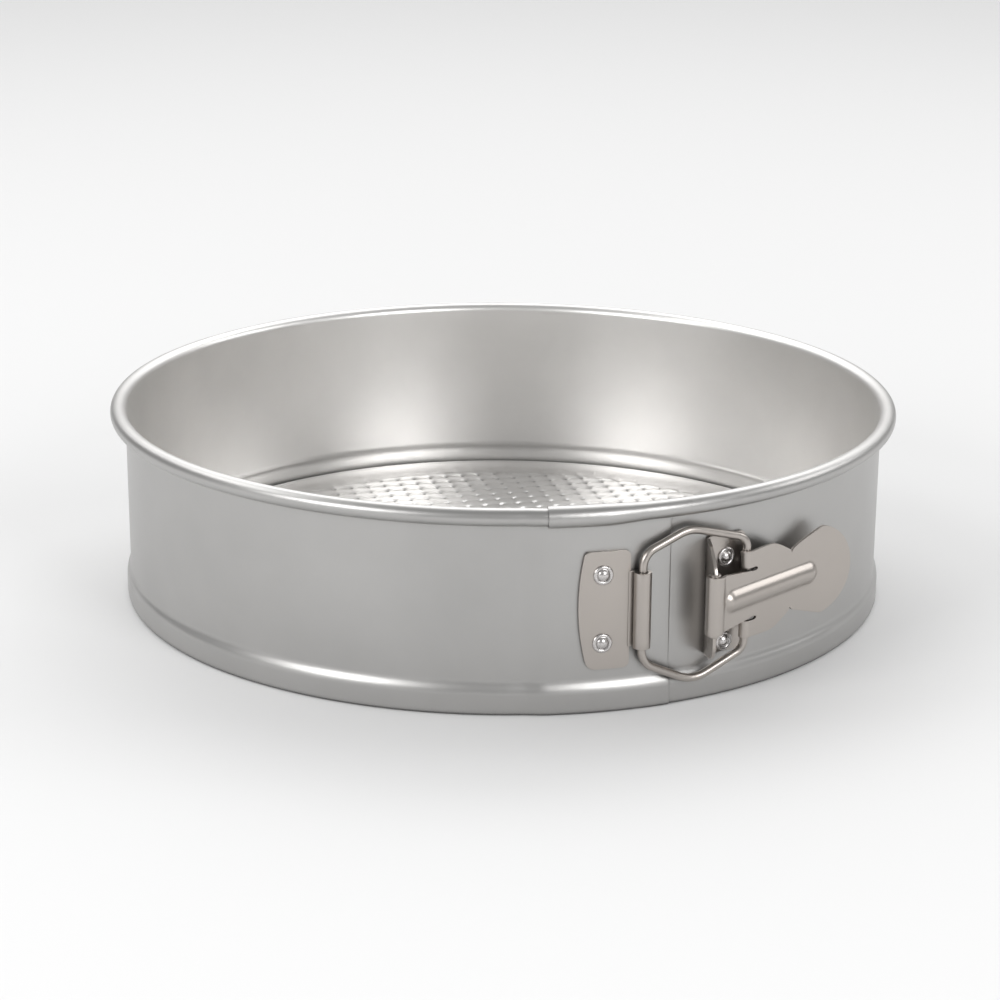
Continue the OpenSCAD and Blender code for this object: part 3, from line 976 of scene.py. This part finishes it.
# angle round the pan, height from the latch's middle, the wall under the plate and the wall's inner face
RIVETS = {"hinge_rivet_upper": (-11.8, 11.0, FLAP_OUT_R, BAND_R + PLY),
          "hinge_rivet_lower": (-11.8, -11.0, FLAP_OUT_R, BAND_R + PLY),
          "bracket_rivet_upper": (6.5, 11.5, WALL_OUT_R, BAND_R),
          "bracket_rivet_lower": (6.5, -16.2, WALL_OUT_R, BAND_R)}


def rivet_head():
    """Profile of the head as (radius, height over the plate): a flat collar, a groove and a dome."""
    collar = [(3.15, 0.0), (3.12, 0.2), (3.0, 0.42), (2.8, 0.56), (2.55, 0.62), (2.3, 0.58)]
    groove = [(2.08, 0.46), (1.98, 0.5), (1.92, 0.66)]
    ball = (DOME_R ** 2 + DOME_RISE ** 2) / (2 * DOME_RISE)
    lift = DOME_BASE + DOME_RISE - ball
    edge = degrees(asin((DOME_R - 0.05) / ball))
    dome = [(ball * sin(radians(a)), lift + ball * cos(radians(a))) for a in spaced(edge, 2, 5)]
    return collar + groove + dome


def rivet_tail(depth):
    """Profile of the hidden end, from its flat head inside the pan to the shank."""
    head = [(1.2, -depth - 0.22), (2.2, -depth - 0.22), (2.5, -depth - 0.1), (2.55, -depth + 0.05)]
    return head + [(1.6, -depth + 0.06), (1.6, -0.02)]


def make_rivets():
    for name, (deg, dz, wall, tail) in RIVETS.items():
        front = wall + PLATE
        a = radians(deg)

        def place(x, y, h, a=a, front=front, z=LATCH_Z + dz):
            r = front + h
            return (r * sin(a) + x * cos(a), -r * cos(a) + x * sin(a), z + y)

        verts, faces = lathe(rivet_tail(front - tail) + rivet_head(), place)
        piece(name + "_head", verts, faces, rivet_steel, "band", name, sharp=45)


# ---------------------------------------------------------------- pieces
make_band()
make_disc()
make_hinge_plate()
make_bracket()
make_rivets()
make_bail()
make_lever()


# ---------------------------------------------------------------- stage
# From here on lengths are in metres. Azimuths are degrees round the pan from its front.
FLOOR_HALF = 14.0
CAMERA_AZ, CAMERA_EL, CAMERA_ROLL = -25.26, 17.29, 0.385
CAMERA_AIM = Vector((0, 0, 0.035))
CAMERA_AWAY = 0.9047
SENSOR, LENS = 36.0, 92.5       # millimetres, as Blender takes them
CAMERA_SHIFT = (-0.0027, -0.0199)


def plain(name, color, rough):
    """A material of one plain colour."""
    mat = bpy.data.materials.new(name)
    mat.use_nodes = True
    shader = mat.node_tree.nodes["Principled BSDF"]
    shader.inputs["Base Color"].default_value = (*color, 1)
    shader.inputs["Roughness"].default_value = rough
    return mat


def make_floor():
    a = FLOOR_HALF
    mesh = bpy.data.meshes.new("floor")
    mesh.from_pydata([(-a, -a, 0), (a, -a, 0), (a, a, 0), (-a, a, 0)], [], [(0, 1, 2, 3)])
    mesh.materials.append(plain("pale_floor", (0.80, 0.80, 0.80), 0.9))
    floor = bpy.data.objects.new("floor", mesh)
    bpy.context.scene.collection.objects.link(floor)


def view_axes(az_deg, el_deg):
    """The camera's right, up and backward directions."""
    az, el = radians(az_deg), radians(el_deg)
    back = Vector((sin(az) * cos(el), -cos(az) * cos(el), sin(el)))
    right = Vector((cos(az), sin(az), 0))
    return right, back.cross(right), back


def make_camera():
    data = bpy.data.cameras.new("camera")
    data.sensor_width = SENSOR
    data.lens = LENS
    data.shift_x, data.shift_y = CAMERA_SHIFT
    data.clip_end = 50
    camera = bpy.data.objects.new("camera", data)
    right, up, back = view_axes(CAMERA_AZ, CAMERA_EL)
    turn = Matrix((right, up, back)).transposed() @ Matrix.Rotation(radians(CAMERA_ROLL), 3, "Z")
    camera.matrix_world = Matrix.Translation(CAMERA_AIM + back * CAMERA_AWAY) @ turn.to_4x4()
    bpy.context.scene.collection.objects.link(camera)
    bpy.context.scene.camera = camera


def softbox(name, az, el, away, size, power):
    """An area light aimed at the pan; az and el are seen from the pan, az 0 being the camera's side."""
    right, up, back = view_axes(CAMERA_AZ + az, el)
    data = bpy.data.lights.new(name, "AREA")
    data.shape = "RECTANGLE"
    data.size, data.size_y = size
    data.energy = power
    lamp = bpy.data.objects.new(name, data)
    turn = Matrix((right, up, back)).transposed().to_4x4()
    lamp.matrix_world = Matrix.Translation(CAMERA_AIM + back * away) @ turn
    bpy.context.scene.collection.objects.link(lamp)


def make_world(strength):
    world = bpy.data.worlds.new("studio")
    world.use_nodes = True
    ground = world.node_tree.nodes["Background"]
    ground.inputs["Color"].default_value = (1, 1, 1, 1)
    ground.inputs["Strength"].default_value = strength
    bpy.context.scene.world = world


make_floor()
make_camera()
make_world(strength=0.36)
softbox("front_left", -47, 24, away=1.6, size=(0.7, 0.6), power=9)
softbox("front_right", 36, 24, away=1.6, size=(0.6, 0.6), power=8)
softbox("right", 100, 28, away=1.6, size=(0.8, 0.6), power=4)
softbox("left", -100, 45, away=1.6, size=(0.9, 0.7), power=5)
softbox("back", 175, 58, away=1.8, size=(1.8, 1.2), power=8)
softbox("far_back", 180, 38, away=4.2, size=(8.0, 2.6), power=90)
bpy.context.scene.view_settings.view_transform = "Standard"
